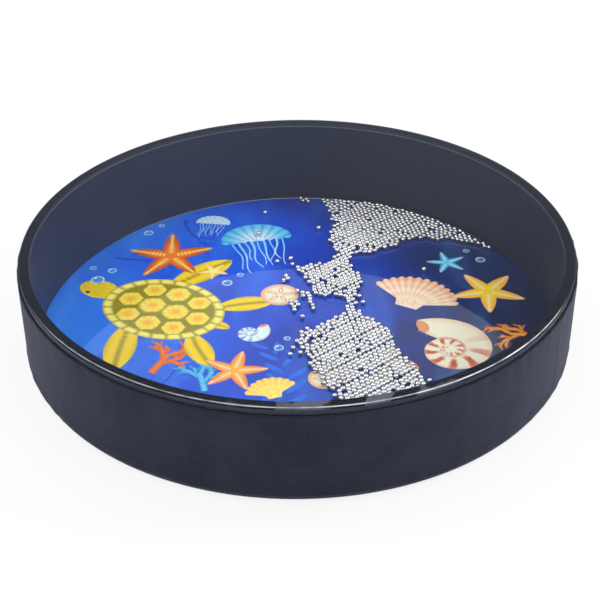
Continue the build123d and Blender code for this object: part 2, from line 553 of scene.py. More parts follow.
def leaf_blade(spine, width, colour, edge_colour):
    """A leaf: widest near its middle, pointed at both ends, with a darker mid rib."""
    last = len(spine) - 1
    left, right = sides(spine, [width / 2 * math.sin(math.pi * n / last) ** 0.7 for n in range(last + 1)])

    def ink(x, y):
        off = off_line(spine, x, y) / width
        return (*lerp(edge_colour, colour, smooth(0.02, 0.16, off) * (1 - 0.5 * smooth(0.3, 0.5, off))), 1)
    return Motif([spine[0]] + left[1:-1] + [spine[-1]] + right[-2:0:-1], ink)


def sea_star(middle, size, turn, body, edge, spots, arms=5):
    """A sea star with tapered arms, a pale ridge and rows of spots."""
    at, local = motif_frame(middle, turn)

    def arm_share(angle):
        return abs((angle * arms / TURN) % 1 - 0.5) * 2

    def reach(angle):
        return size / (1 + 1.9 * (1 - arm_share(angle)) ** 1.35)

    def ink(x, y):
        u, v = local(x, y)
        angle = math.atan2(v, u) % TURN
        share = math.hypot(u, v) / reach(angle)
        ridge = smooth(0.88, 0.99, arm_share(angle)) * smooth(0.1, 0.3, share)
        tone = lerp(body, edge, smooth(0.45, 1.0, share))
        return (*lerp(tone, spots, 0.55 * ridge), 1)

    def dot(step, angle, radius):
        return disc(at(*polar(size * step / 11.5, angle)), size * radius, plain(spots), count=8)
    count = round(9 * size / OUTLINE_SPACING)
    angles = [TURN * n / count for n in range(count)]
    motifs = [Motif([at(*polar(reach(angle), angle)) for angle in angles], ink)]
    for arm in range(arms):
        heading = TURN * arm / arms
        motifs += [dot(step, heading, 0.024) for step in range(2, 11)]
        for step in range(2, 6):
            lean = 0.3 - 0.04 * step
            motifs += [dot(step, heading - lean, 0.02), dot(step, heading + lean, 0.02)]
    return motifs


def scallop(middle, size, turn, pale, dark, ribs=13):
    """A fan shell: ribs that spread from the hinge, growth rings across them, and two small ears."""
    at, local = motif_frame(middle, turn)
    spread = math.radians(62)

    def rib(angle):
        return abs(math.cos(ribs * math.pi * angle / (2 * spread)))

    def reach(angle):
        return size * (0.93 + 0.07 * rib(angle)) * math.cos(angle * 0.35)

    def ink(x, y):
        u, v = local(x, y)
        angle = math.atan2(u, v)
        along = math.hypot(u, v) / size
        ring = 0.5 + 0.5 * math.sin(along * 26)
        tone = lerp(dark, pale, 0.25 + 0.6 * rib(angle) + 0.2 * ring - 0.25 * smooth(0.5, 1, along))
        return (*tone, 1)
    count = round(2 * spread * size / INK_SPACING)
    outline = [at(-size * 0.2, -size * 0.02), at(-size * 0.26, size * 0.17)]
    for n in range(count + 1):
        angle = -spread + 2 * spread * n / count
        outline.append(at(reach(angle) * math.sin(angle), reach(angle) * math.cos(angle)))
    outline += [at(size * 0.26, size * 0.17), at(size * 0.2, -size * 0.02)]
    return [Motif(resample(outline), ink)]


def nautilus(middle, size, turn, pale, stripe):
    """A coiled shell with stripes that fade towards its mouth."""
    at, local = motif_frame(middle, turn)
    growth = 0.165
    inner = math.exp(-growth * TURN)

    def edge(angle):
        return size * math.exp(growth * (angle - TURN))

    def ink(x, y):
        u, v = local(x, y)
        angle = math.atan2(v, u) % TURN
        share = math.hypot(u, v) / edge(angle)
        whorl = angle if share > inner else angle - TURN
        depth = share if share > inner else share / inner
        bands = math.sin(whorl * 9 + 3.2 * depth)
        fade = 1 - smooth(3.4, 5.4, whorl)
        tone = lerp(pale, stripe, fade * smooth(0.1, 0.5, bands) * smooth(0.35, 0.6, depth))
        seam = smooth(0.06, 0.0, abs(share - inner))
        tone = lerp(tone, stripe, 0.7 * seam)
        return (*lerp(tone, PEACH, 0.45 * smooth(0.8, 1.0, depth)), 1)
    count = round(TURN * size * 0.8 / OUTLINE_SPACING)
    angles = [TURN * n / count * 0.9999 for n in range(count + 1)]
    outline = [at(*polar(edge(angle), angle)) for angle in angles] + [at(size * 0.72, size * 0.16)]
    opening = ellipse(at(size * 0.8, size * 0.02), size * 0.17, size * 0.1, turn - 8)
    return [Motif(resample(outline), ink), Motif(opening, plain(CLAY))]


def jellyfish(middle, size, turn, bell_colour, rim):
    """A clear bell with pale ribs and a scalloped rim, over wavy tentacles."""
    at, local = motif_frame(middle, turn)
    tentacle_count = 9
    tentacle_steps = 18
    rim_steps = 80
    motifs = []
    rng = random.Random(5)
    for n in range(tentacle_count):
        start = -0.72 + 1.44 * n / (tentacle_count - 1)
        reach = size * rng.uniform(1.0, 1.7)
        sway = rng.uniform(0.05, 0.13) * size
        phase = rng.uniform(0, TURN)
        spine = []
        for step in range(tentacle_steps + 1):
            down = reach * step / tentacle_steps
            across = start * size * (1 - 0.25 * step / tentacle_steps)
            across += sway * math.sin(phase + 6 * step / tentacle_steps) * step / tentacle_steps
            spine.append(at(across, -0.05 * size - down))
        motifs.append(ribbon(spine, size * (0.075 if n % 2 else 0.05), size * 0.02, PALE, CYAN, 0.85))

    def ink(x, y):
        u, v = local(x, y)
        u, v = u / size, v / size
        rib = 0.5 + 0.5 * math.cos(22 * math.atan2(u, v + 0.35))
        dome = math.hypot(u, v * 1.1)
        tone = lerp(PALE, bell_colour, smooth(0.1, 0.85, dome))
        tone = lerp(tone, rim, 0.6 * smooth(0.6, 1.0, rib) + 0.4 * smooth(0.86, 1.0, dome))
        return (*tone, 0.9)
    outline = []
    for n in range(rim_steps + 1):
        angle = math.pi * n / rim_steps
        outline.append(at(size * math.cos(angle), size * 0.82 * math.sin(angle)))
    for n in range(1, rim_steps):
        across = -1 + 2 * n / rim_steps
        outline.append(at(across * size, -size * (0.05 + 0.08 * abs(math.sin(math.pi * 4 * (across + 1))))))
    motifs.append(Motif(outline, ink))
    return motifs


def walk(root, stride, steps, heading):
    """A line of points from the root, in strides. The function heading gives the way of each, in degrees."""
    x, y = root
    spine = []
    for step in range(steps + 1):
        spine.append((x, y))
        angle = math.radians(heading(step))
        x += stride * math.cos(angle)
        y += stride * math.sin(angle)
    return spine


def coral(root, heading, reach, width, colour, edge_colour, rng, level=0):
    """A branching coral, grown from its root."""
    bend = rng.uniform(-14, 14)
    steps = max(4, round(reach / CORAL_STEP))
    spine = walk(root, reach / steps, steps, lambda step: heading + bend * step / steps)
    motifs = []
    if level < 3:
        for n, side in enumerate((-1, 1, -1 if level == 0 else 1)[:3 - (level > 1)]):
            start = spine[round(steps * (0.45 + 0.27 * n))] if n < 2 else spine[-1]
            lean = heading + bend + side * rng.uniform(24, 46)
            branch = reach * rng.uniform(0.55, 0.72)
            motifs += coral(start, lean, branch, width * 0.72, colour, edge_colour, rng, level + 1)
    motifs.append(ribbon(spine, width, width * 0.72, colour, edge_colour))
    return motifs


def kelp(root, heading, reach, colour, edge_colour, rng):
    """A swaying stalk with leaves on both sides."""
    steps = round(reach / KELP_STEP)
    phase = rng.uniform(0, TURN)
    spine = walk(root, KELP_STEP, steps, lambda step: heading + 22 * math.sin(phase + 5 * step / steps))
    motifs = [ribbon(spine, 3.2, 1.4, edge_colour, edge_colour)]
    for n in range(3, steps, 4):
        ahead = math.degrees(math.atan2(spine[n][1] - spine[n - 1][1], spine[n][0] - spine[n - 1][0]))
        side = 1 if n % 8 == 3 else -1
        leaf_reach = reach * 0.2 * (1 - 0.5 * n / steps) + 5
        at = motif_frame(spine[n], ahead + side * rng.uniform(32, 52))[0]
        curl = -side * 0.1 * leaf_reach
        leaf = [at(leaf_reach * step / 8, curl * (step / 8) ** 2) for step in range(9)]
        motifs.append(leaf_blade(leaf, leaf_reach * 0.26, colour, edge_colour))
    return motifs


def turtle(middle, size, turn, shell, plate, limb):
    """A turtle from above: an oval shell with plates, four flippers, a head and a tail."""
    in_print, local = motif_frame(middle, turn)
    shell_long = 0.5
    shell_wide = 0.4

    def at(u, v):
        return in_print(u * size, v * size)

    def flipper(base, tip, width):
        spine = []
        for n in range(15):
            u = base[0] + (tip[0] - base[0]) * n / 14
            v = base[1] + (tip[1] - base[1]) * (n / 14) ** 0.75
            spine.append(at(u, v))
        return leaf_blade(spine, width * size, limb, OLIVE)

    def head_ink(x, y):
        u, v = local(x, y)
        spot = math.sin(u * 1.3) * math.sin(v * 1.3)
        return (*lerp(limb, OLIVE, 0.6 * smooth(0.1, 0.5, spot)), 1)

    def shell_ink(x, y):
        u, v = local(x, y)
        share = math.hypot(u / shell_long, v / shell_wide) / size
        notch = 0.5 + 0.5 * math.cos(math.atan2(v / shell_wide, u / shell_long) * 24)
        tone = lerp(OLIVE, plate, smooth(0.82, 0.88, share) * (1 - 0.8 * smooth(0.75, 1.0, notch)))
        return (*lerp(tone, OLIVE, 0.8 * smooth(0.95, 1.0, share)), 1)

    def plate_ink(u0, v0):
        def ink(x, y):
            u, v = local(x, y)
            u, v = u / size - u0, v / size - v0
            off = math.hypot(u, v)
            streak = 0.5 + 0.5 * math.cos(9 * math.atan2(v, u) + 40 * off)
            tone = lerp(AMBER, shell, smooth(0.0, 0.07, off))
            tone = lerp(tone, LEMON, 0.8 * streak * smooth(0.02, 0.06, off))
            return (*lerp(tone, OLIVE, 0.75 * smooth(0.085, 0.11, off)), 1)
        return ink

    motifs = []
    for side in (-1, 1):
        motifs.append(flipper((0.12, 0.2 * side), (-0.12, 0.86 * side), 0.24))
        motifs.append(flipper((-0.36, 0.16 * side), (-0.72, 0.48 * side), 0.2))
    motifs.append(leaf_blade([at(-0.4 - 0.2 * n / 8, 0) for n in range(9)], 0.1 * size, limb, OLIVE))
    motifs.append(Motif(ellipse(at(0.6, 0), 0.17 * size, 0.12 * size, turn), head_ink))
    for side in (-1, 1):
        motifs.append(Motif(ellipse(at(0.66, 0.075 * side), 0.022 * size, 0.016 * size, turn), plain(DEEP)))
    motifs.append(Motif(ellipse(middle, shell_long * size, shell_wide * size, turn), shell_ink))
    plates = [(0.3, 0, 0.1), (0.1, 0, 0.115), (-0.11, 0, 0.115), (-0.31, 0, 0.095)]
    for side in (-1, 1):
        plates += [(0.2, 0.19 * side, 0.095), (0.0, 0.22 * side, 0.105), (-0.21, 0.19 * side, 0.095)]
    for u, v, reach in plates:
        corners = []
        for n in range(6):
            across, along = polar(reach, TURN * (n + 0.5) / 6)
            corners.append(at(u + across, v + along))
        motifs.append(Motif(resample(corners), plate_ink(u, v)))
    return motifs


def sand_dollar(middle, size, turn):
    """A pale disc with five petals."""
    def ink(x, y):
        share = math.hypot(x - middle[0], y - middle[1]) / size
        return (*lerp(CREAM, PEACH, smooth(0.55, 1.0, share)), 1)
    motifs = [disc(middle, size, ink)]
    for n in range(5):
        angle = turn + 72 * n
        petal = motif_frame(middle, angle)[0](size * 0.42, 0)
        motifs.append(Motif(ellipse(petal, size * 0.3, size * 0.12, angle, 18), plain(CLAY)))
        motifs.append(Motif(ellipse(petal, size * 0.22, size * 0.06, angle, 14), plain(CREAM)))
    return motifs


def bubble(x, y, radius):
    """A thin pale ring with a bright spot."""
    spot = (x - radius * 0.35, y + radius * 0.4)
    return [disc((x, y), radius, plain(PALE, 0.8), count=24),
            disc((x, y), radius * 0.78, plain(CYAN, 0.3), count=20),
            disc(spot, radius * 0.2, plain(PALE), count=8)]


def print_motifs():
    """Every printed shape, the ones on top last."""
    rng = random.Random(11)
    motifs = []
    for root, heading, reach in (((-128, -128), 72, 110), ((-166, -60), 44, 96), ((-18, -150), 96, 120),
                                 ((-150, 96), -28, 70), ((-96, 158), -78, 74)):
        motifs += kelp(root, heading, reach, WAVE, SHADE, rng)
    for root, heading, reach in (((150, -92), 116, 104), ((168, 46), 170, 80), ((66, -150), 84, 96)):
        motifs += kelp(root, heading, reach, DIM_WAVE, DIM_SHADE, rng)
    motifs += coral((-106, -64), 66, 24, 6.5, ORANGE, RUST, rng)
    motifs += coral((-66, -86), 102, 21, 5.5, CYAN, TEAL, rng)
    motifs += coral((182, -22), 166, 22, 5.5, AMBER, RUST, rng)
    motifs += jellyfish((-34, 124), 30, 12, CYAN, TEAL)
    motifs += jellyfish((-72, 152), 15, -8, PALE, CYAN)
    motifs += turtle((-104, 20), 100, 152, YELLOW, LEMON, YELLOW)
    motifs += nautilus((112, -38), 44, 118, CREAM, RUST)
    motifs += nautilus((-36, -14), 17, 40, PALE, TEAL)
    motifs += scallop((84, 20), 44, -28, CREAM, ORANGE)
    motifs += scallop((-16, -94), 24, 20, LEMON, AMBER, ribs=9)
    motifs += scallop((72, -66), 18, -12, AMBER, RUST, ribs=9)
    motifs += sea_star((-104, 98), 36, 20, ORANGE, RUST, LEMON)
    motifs += sea_star((150, 40), 30, 50, YELLOW, AMBER, CREAM)
    motifs += sea_star((-46, -62), 25, 5, AMBER, ORANGE, CREAM)
    motifs += sea_star((122, 84), 17, 30, CYAN, TEAL, PALE)
    motifs += sea_star((-68, 74), 13, 50, LEMON, AMBER, CREAM)
    motifs += sand_dollar((-14, 38), 15, 10)
    motifs += sand_dollar((20, -72), 13, 40)
    for x, y, radius in ((-160, 62, 5.5), (-150, 76, 3.6), (-166, 80, 2.8), (-56, 56, 4.2), (-46, 68, 2.8),
                         (-126, 136, 4.0), (-116, 148, 2.6), (24, 70, 4.4), (30, 84, 3.0), (150, 88, 4.0),
                         (140, 102, 2.6), (66, -44, 4.2), (60, -54, 2.8), (-14, -34, 3.6), (-8, -22, 2.6)):
        motifs += bubble(x, y, radius)
    return motifs


def print_material(name, paleness):
    """The sea print under gloss: blue water, bright at the left and navy at the right, and inks over it."""
    material, tree, shader = new_material(name)
    across = remap(tree, apart(tree, object_coordinates(tree))["X"], -0.2, 0.2)
    clouds = noise(tree, 9, detail=3)
    shift = maths(tree, "MULTIPLY", maths(tree, "SUBTRACT", clouds, 0.5), 0.7)
    water = ramp(tree, maths(tree, "ADD", across, shift, clamp=True),
                 [(0.0, srgb(44, 128, 236)), (0.3, srgb(14, 84, 220)), (0.55, srgb(12, 54, 170)),
                  (0.8, srgb(16, 36, 96)), (1.0, srgb(18, 30, 66))])
    rays = noise(tree, 26, detail=2, stretch=(1, 0.22, 1))
    glints = ramp(tree, rays, [(0.5, (0, 0, 0)), (0.8, srgb(60, 120, 190))])
    water = mix_colour(tree, 0.5, water, glints, blend="ADD")
    inks = add(tree, "ShaderNodeAttribute", attribute_name="ink").outputs
    grain = ramp(tree, noise(tree, 700, detail=2), [(0.3, grey(0.3)), (0.7, grey(1))])
    ink = mix_colour(tree, 0.16, inks["Color"], grain, blend="MULTIPLY")
    tone = mix_colour(tree, inks["Alpha"], water, ink)
    if paleness:
        tone = mix_colour(tree, paleness, tone, srgb(214, 220, 230))
    fill(tree, shader, {"Base Color": tone, "Roughness": 0.03, "Specular IOR Level": 0.4})
    return material


def ink_points(motifs, taken):
    """Points all over the motifs, clear of those that are taken, so that a motif's ink can change there."""
    cells = {(round(x / INK_SPACING), round(y / INK_SPACING)) for x, y in taken}
    points = []
    rows = math.floor(PRINT_RADIUS / (INK_SPACING * INK_ROW_SHARE))
    columns = math.floor(PRINT_RADIUS / INK_SPACING)
    for row in range(-rows, rows + 1):
        y = row * INK_SPACING * INK_ROW_SHARE
        for column in range(-columns, columns + 1):
            x = (column + (row % 2) / 2) * INK_SPACING
            clear = (round(x / INK_SPACING), round(y / INK_SPACING)) not in cells
            within = math.hypot(x, y) < PRINT_RADIUS - INK_MARGIN
            if clear and within and any(motif.holds(x, y) for motif in motifs):
                points.append((x, y))
    return points


def cut_print(motifs):
    """Cuts the print's disc along every outline. Gives its points, its triangles, the points round its rim
    and, for each triangle, the number of its top motif, counted from 1, or 0 on bare water."""
    points = [polar(PRINT_RADIUS, TURN * k / ROUND_SEGMENTS) for k in range(ROUND_SEGMENTS)]
    outlines = [list(range(ROUND_SEGMENTS))]
    for motif in motifs:
        outlines.append(list(range(len(points), len(points) + len(motif.outline))))
        points += motif.outline
    points += ink_points(motifs, points)
    within_outlines = 1
    merge_distance = 0.0001
    flat, _, triangles, from_points, _, from_faces = delaunay_2d_cdt(
        [Vector(point) for point in points], [], outlines, within_outlines, merge_distance, True)
    at_edge = {}
    for number, sources in enumerate(from_points):
        for source in sources:
            if source < ROUND_SEGMENTS:
                at_edge[source] = number
    rim = [at_edge[k] for k in range(ROUND_SEGMENTS)]
    return flat, triangles, rim, [max(sources) for sources in from_faces]


def make_printed_head():
    motifs = print_motifs()
    flat, triangles, rim, tops = cut_print(motifs)
    count = len(flat)
    within = arc(BEND_START, FILM_BEND, FILM_BEND - FILM, -90, 0, 8) + [(COLLAR_INNER, COLLAR_DEPTH)]
    without = [(COLLAR_OUTER, COLLAR_DEPTH)] + arc(BEND_START, FILM_BEND, FILM_BEND, 0, -90, 8)
    ring_points, rings = revolve(within + without)
    rings = [[number + 2 * count for number in ring] for ring in rings]
    points = [(x, y, FILM) for x, y in flat] + [(x, y, 0) for x, y in flat] + ring_points
    upper = [list(triangle) for triangle in triangles]
    lower = [[number + count for number in triangle[::-1]] for triangle in triangles]
    collar = skin([rim] + rings + [[number + count for number in rim]])
    mesh = make_mesh("printed_head", points, upper + lower + collar, sharp_angle=60)

    water = (0.05, 0.2, 0.7, 0)
    above = []
    for triangle, top in zip(triangles, tops):
        above.append([motifs[top - 1].ink(*flat[number]) if top else water for number in triangle])
    below = [inks[::-1] for inks in above]
    corners = [ink for inks in above + below for ink in inks] + [water] * (4 * len(collar))
    attribute = mesh.color_attributes.new("ink", "FLOAT_COLOR", "CORNER")
    attribute.data.foreach_set("color", [channel for ink in corners for channel in ink])
    head = place("printed_head", mesh, print_material("sea_print", 0.0),
                 print_material("sea_print_underside", 0.45), bend_material())
    slots = [0] * len(upper) + [1] * len(lower) + [2] * len(collar)
    mesh.polygons.foreach_set("material_index", slots)
    mesh.polygons.foreach_set("use_smooth", [slot == 2 for slot in slots])
    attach(head, "drum")
    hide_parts("lower_head")


# Cloth band, with its raw edges

CLOTH_SEGMENTS = 720
CLOTH_LEVELS = [0, 0.012, 0.03, 0.05, 0.075, 0.1, 0.14, 0.2, 0.3, 0.4, 0.5, 0.6, 0.7, 0.8,
                0.88, 0.93, 0.965, 0.985, 1]
LINING_LEVELS = [0.9, 0.6, 0.3, 0.05]
CLOTH_EASE = 0.3
UPPER_EASE = 0.2
LOWER_EASE = 0.1
CREASE_COUNT = 11
FOLD_ANGLE = -4.0
FOLD_LEAN = 10
FOLD_WIDTH = 7
FOLD_RISE = 0.75
FOLD_DIP = 0.35
LAP_ANGLE = 92.0
LAP_RELIEF = 0.75
HEM_LEVEL = 0.075
HEM_WIDTH = 0.018
HEM_RELIEF = 0.34
NAP_DEPTH = 0.4
THREAD_COUNT = 2400
THREAD_ROOT = 0.3
THREAD_REACH = (0.5, 1.6)
THREAD_HALF_WIDTH = (0.05, 0.1)
LOWER_THREAD_SHARE = 0.7


def waves(rng, count, fewest, most, size):
    """Ripples round the band: how many go round, their phase and their height."""
    ripples = []
    for _ in range(count):
        ripples.append((rng.randint(fewest, most), rng.uniform(0, TURN), size * rng.uniform(0.5, 1.0)))
    return ripples


def ripple(parts, angle):
    """The height of ripples at an angle round the band."""
    return sum(size * math.sin(count * angle + phase) for count, phase, size in parts)


def turned(angle, degrees):
    """The angle from a place on the round to a point, in degrees within half a turn."""
    return (math.degrees(angle) - degrees + 180) % 360 - 180


class Cloth:
    """The cloth's form: slack waves, puckers at its edges, and creases and a pulled fold at the right."""

    def __init__(self):
        rng = random.Random(23)
        self.broad = waves(rng, 5, fewest=5, most=19, size=0.07)
        self.upper = waves(rng, 5, fewest=50, most=120, size=0.1)
        self.lower = waves(rng, 4, fewest=40, most=90, size=0.08)
        self.raw_upper = waves(rng, 6, fewest=30, most=170, size=0.09)
        self.raw_lower = waves(rng, 5, fewest=30, most=150, size=0.08)
        self.creases = []
        for _ in range(CREASE_COUNT):
            self.creases.append((rng.uniform(-32, 24), rng.uniform(-6, 6), rng.uniform(0.8, 1.6),
                                 rng.uniform(0.2, 0.45)))

    def radius(self, angle, height):
        """Outer radius at a place round the band; height is 0 at the lower edge and 1 at the upper."""
        stand = ripple(self.broad, angle) + ripple(self.upper, angle) * height ** 4
        stand += ripple(self.lower, angle) * (1 - height) ** 5
        for middle, lean, width, size in self.creases:
            off = turned(angle, middle + lean * (height - 0.5))
            stand += size * bell(off, 0, width) * smooth(0.0, 0.3, height)
        fold = FOLD_RISE * bell(height, 0.42, 0.14) - FOLD_DIP * bell(height, 0.72, 0.1)
        stand += bell(turned(angle, FOLD_ANGLE - FOLD_LEAN * (height - 0.6)), 0, FOLD_WIDTH) * fold
        lap = turned(angle, LAP_ANGLE)
        stand += LAP_RELIEF * smooth(-2.6, -2.2, lap) * (1 - smooth(2.2, 3.4, lap))
        return CLOTH_OUTER - CLOTH_EASE + stand + HEM_RELIEF * bell(height, HEM_LEVEL, HEM_WIDTH)

    def upper_edge(self, angle):
        return CLOTH_TOP - UPPER_EASE + ripple(self.raw_upper, angle)

    def lower_edge(self, angle):
        return CLOTH_BOTTOM + LOWER_EASE + ripple(self.raw_lower, angle)


def cloth_material():
    """Black brushed cloth with a short uneven nap, bluish where it's seen aslant."""
    material, tree, shader = new_material("black_brushed_cloth")
    nap = noise(tree, 1400, detail=5, roughness=0.75)
    streaks = noise(tree, 120, detail=3, stretch=(0.5, 0.5, 2.2))
    patches = remap(tree, noise(tree, 26, detail=3), 0.38, 0.66, to_high=0.55)
    tone = ramp(tree, nap, [(0.3, (0.009, 0.01, 0.0175)), (0.75, (0.044, 0.049, 0.08))])
    tone = mix_colour(tree, maths(tree, "MULTIPLY", streaks, 0.55), tone, (0.011, 0.012, 0.021))
    tone = mix_colour(tree, patches, tone, (0.037, 0.039, 0.06))
    relief = add(tree, "ShaderNodeBump", {"Height": maths(tree, "ADD", nap, streaks), "Strength": 0.5,
                                          "Distance": NAP_DEPTH * MM}).outputs["Normal"]
    fill(tree, shader, {"Base Color": tone, "Normal": relief, "Roughness": 0.95, "Specular IOR Level": 0.2,
                        "Sheen Weight": 0.16, "Sheen Roughness": 0.45, "Sheen Tint": (0.68, 0.72, 1.0, 1)})
    return material


def make_cloth():
    cloth = Cloth()
    points = []
    for k in range(CLOTH_SEGMENTS):
        angle = TURN * k / CLOTH_SEGMENTS
        low = cloth.lower_edge(angle)
        high = cloth.upper_edge(angle)
        outer = [(cloth.radius(angle, t), low + (high - low) * t) for t in CLOTH_LEVELS]
        top = [(outer[-1][0] - 0.25, high + 0.12), (CLOTH_INNER + 0.1, high + 0.3),
               (COLLAR_OUTER + 0.04, high + 0.2)]
        inner = [(CLOTH_INNER + 0.05, low + (high - low) * t) for t in LINING_LEVELS]
        bottom = [(CLOTH_INNER + 0.15, low - 0.05), (outer[0][0] - 0.3, low - 0.12)]
        loop = outer + top + inner + bottom
        points += [(*polar(r, angle), z) for r, z in loop]
    count = len(loop)
    faces = []
    for k in range(CLOTH_SEGMENTS):
        here = k * count
        after = (k + 1) % CLOTH_SEGMENTS * count
        for n in range(count):
            m = (n + 1) % count
            faces.append([here + n, after + n, after + m, here + m])
    material = cloth_material()
    band = place("cloth_cover", make_mesh("cloth_cover", points, faces, sharp_angle=80), material)
    threads = place("cloth_frayed_edge", frayed_threads(cloth), material)
    for piece in (band, threads):
        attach(piece, "drum")
    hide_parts("fabric_cover")
    return band, threads


def frayed_threads(cloth):
    """Short threads that stand out of the band's raw edges, three in four of them at the upper edge."""
    rng = random.Random(31)
    points = []
    faces = []
    for n in range(THREAD_COUNT):
        angle = rng.uniform(0, TURN)
        upper = n % 4 != 0
        edge = cloth.upper_edge(angle) if upper else cloth.lower_edge(angle)
        sign = 1 if upper else -1
        radius = rng.uniform(CLOTH_INNER + 0.3, cloth.radius(angle, 1.0 if upper else 0.0) - 0.1)
        reach = rng.uniform(*THREAD_REACH) * (1.0 if upper else LOWER_THREAD_SHARE)
        lean = rng.uniform(-1.0, 1.0)
        width = rng.uniform(*THREAD_HALF_WIDTH)
        along = (-math.sin(angle), math.cos(angle))
        out = (math.cos(angle), math.sin(angle))
        base = len(points)
        for step, size in ((0, 1.0), (0.55, 0.85), (1.0, 0.35)):
            rise = edge - sign * THREAD_ROOT + sign * reach * step
            side = lean * step * step
            off = radius + 0.15 * step * rng.uniform(-1, 1)
            for corner in range(3):
                turn = TURN * corner / 3
                a = side + width * size * math.cos(turn)
                r = off + width * size * math.sin(turn)
                points.append((out[0] * r + along[0] * a, out[1] * r + along[1] * a, rise))
        thread = [[base, base + 2, base + 1]]
        for ring in (base, base + 3):
            for corner in range(3):
                after = (corner + 1) % 3
                thread.append([ring + corner, ring + after, ring + 3 + after, ring + 3 + corner])
        thread.append([base + 6, base + 7, base + 8])
        faces += [face[::-sign] for face in thread]
    return make_mesh("cloth_frayed_edge", points, faces)


# Beads, in the rows that roll together. A reach or step is in bead pitches.

BEAD_COUNT_ACROSS = 92
BEAD_SPACING = 0.21
BEAD_LIFT = 0.02
WALL_CLEARANCE = 0.5
BEAD_PITCH = (2 * (SHELL_INNER - WALL_CLEARANCE) + BEAD_SPACING) / BEAD_COUNT_ACROSS
BEAD_RADIUS = (BEAD_PITCH - BEAD_SPACING) / 2
BEAD_REACH = (BEAD_COUNT_ACROSS - 1) / 2
ROW_TURN = math.radians(40.0)
ROW_GAP_SHARE = 0.024
LINES_PER_ROW = 5
LINE_STEP = math.sqrt(3) / 2
ROW_STEP = (LINES_PER_ROW - 1) * LINE_STEP + 1 + ROW_GAP_SHARE
VACANT_SHARE = 0.04
LAYOUT_SEED = 7
SETTLED_GAP = 0.03
TOUCHING = (2 * BEAD_RADIUS + SETTLED_GAP) / BEAD_PITCH
SCATTER = 0.75
SHAKE = 0.01
PULL_HOME = 0.006
SETTLE_ROUNDS = 1200
SHAKE_SEED = 50

# Where the beads lie, in bead pitches from the middle
REAR_DRIFT = [(4.3, 47.6), (23.8, 44.0), (42.9, 26.2), (38.6, 23.6), (34.0, 27.1), (26.2, 29.0), (21.4, 28.1),
              (17.1, 24.8), (12.4, 22.6), (8.6, 23.1), (6.7, 26.7), (6.7, 30.5), (8.1, 36.2), (6.4, 41.9)]
MIDDLE_DRIFT = [(7.6, 23.1), (10.0, 22.9), (10.7, 17.1), (12.4, 13.1), (11.2, 9.0), (10.2, 2.9), (9.0, 2.9),
                (8.8, 7.1), (2.9, 9.0), (2.1, 12.9), (0.2, 16.7), (1.9, 18.6), (6.7, 20.0)]
FRONT_DRIFT = [(10.5, 4.0), (11.7, 1.0), (13.8, 0.0), (15.7, -2.9), (17.4, -8.1), (17.9, -11.9),
               (19.8, -14.0), (21.0, -20.0), (24.8, -29.8), (26.7, -47.6), (14.8, -47.6), (10.0, -31.0),
               (7.1, -23.8), (4.5, -19.0), (2.1, -13.8), (2.4, -11.0), (0.2, -8.6), (0.5, -3.3), (4.3, -2.6),
               (5.7, 0.0)]
LOOSE_GROUPS = [[(-1.2, 10.0), (-0.2, 10.2), (2.4, 8.8), (2.4, 7.1), (0.7, 7.9)],
                [(1.7, 6.9), (3.3, 6.2), (3.6, 2.9), (2.1, 3.6)],
                [(-1.2, 6.4), (0.2, 6.4), (-0.2, 1.9), (-1.2, 2.4)],
                [(0.5, 46.2), (2.6, 46.2), (2.6, 43.3), (1.0, 43.6)]]
STRAY_BEADS = [(-6.7, 39.3), (-8.3, 31.0), (4.0, 32.9), (-4.0, 20.5), (-1.7, 20.7), (-0.7, 19.0), (0.0, 17.6),
               (-2.4, 15.0), (-1.7, 13.8), (-2.9, 13.1), (24.3, 16.9), (12.6, 5.5), (22.4, -18.6),
               (-1.0, -9.0), (-1.2, -11.0), (0.7, -10.5), (0.5, 0.5)]


def in_plan(along, across):
    """Plan place of a point given along the rows and across them."""
    return (along * math.cos(ROW_TURN) - across * math.sin(ROW_TURN),
            along * math.sin(ROW_TURN) + across * math.cos(ROW_TURN))


def row_places(row):
    """Every place of a row where a bead can lie, along and across the rows."""
    for line_in_row in range(LINES_PER_ROW):
        line = row * LINES_PER_ROW + line_in_row
        across = row * ROW_STEP + (line_in_row - (LINES_PER_ROW - 1) / 2) * LINE_STEP
        if abs(across) < BEAD_REACH:
            limit = math.sqrt(BEAD_REACH**2 - across**2)
            shift = (line % 2) / 2
            for step in range(math.ceil(-limit - shift), math.floor(limit - shift) + 1):
                yield step + shift, across


def bead_rows():
    """For each row that has beads, from the front: its number, all its beads,
    and those of the solids' layout, which has gaps."""
    outer_row = math.floor(BEAD_REACH / ROW_STEP + 0.5)
    places = {row: list(row_places(row)) for row in range(-outer_row, outer_row + 1)}
    everywhere = [spot for row in places.values() for spot in row]
    strays = {min(everywhere, key=lambda spot: math.dist(in_plan(*spot), stray)) for stray in STRAY_BEADS}
    drifts = [REAR_DRIFT, MIDDLE_DRIFT, FRONT_DRIFT] + LOOSE_GROUPS
    gaps = random.Random(LAYOUT_SEED)
    rows = []
    for number, row in places.items():
        beads = []
        solid_beads = []
        for spot in row:
            vacant = gaps.random() < VACANT_SHARE
            drifted = any(inside(outline, *in_plan(*spot)) for outline in drifts)
            if spot in strays or drifted:
                beads.append(spot)
            if spot in strays or (drifted and not vacant):
                solid_beads.append(spot)
        if solid_beads:
            rows.append((number, beads, solid_beads))
    return rows


def half_chord(across):
    """How far a row's line reaches each way before the wall, in bead pitches."""
    return np.sqrt(np.clip(BEAD_REACH**2 - across**2, 0, None))


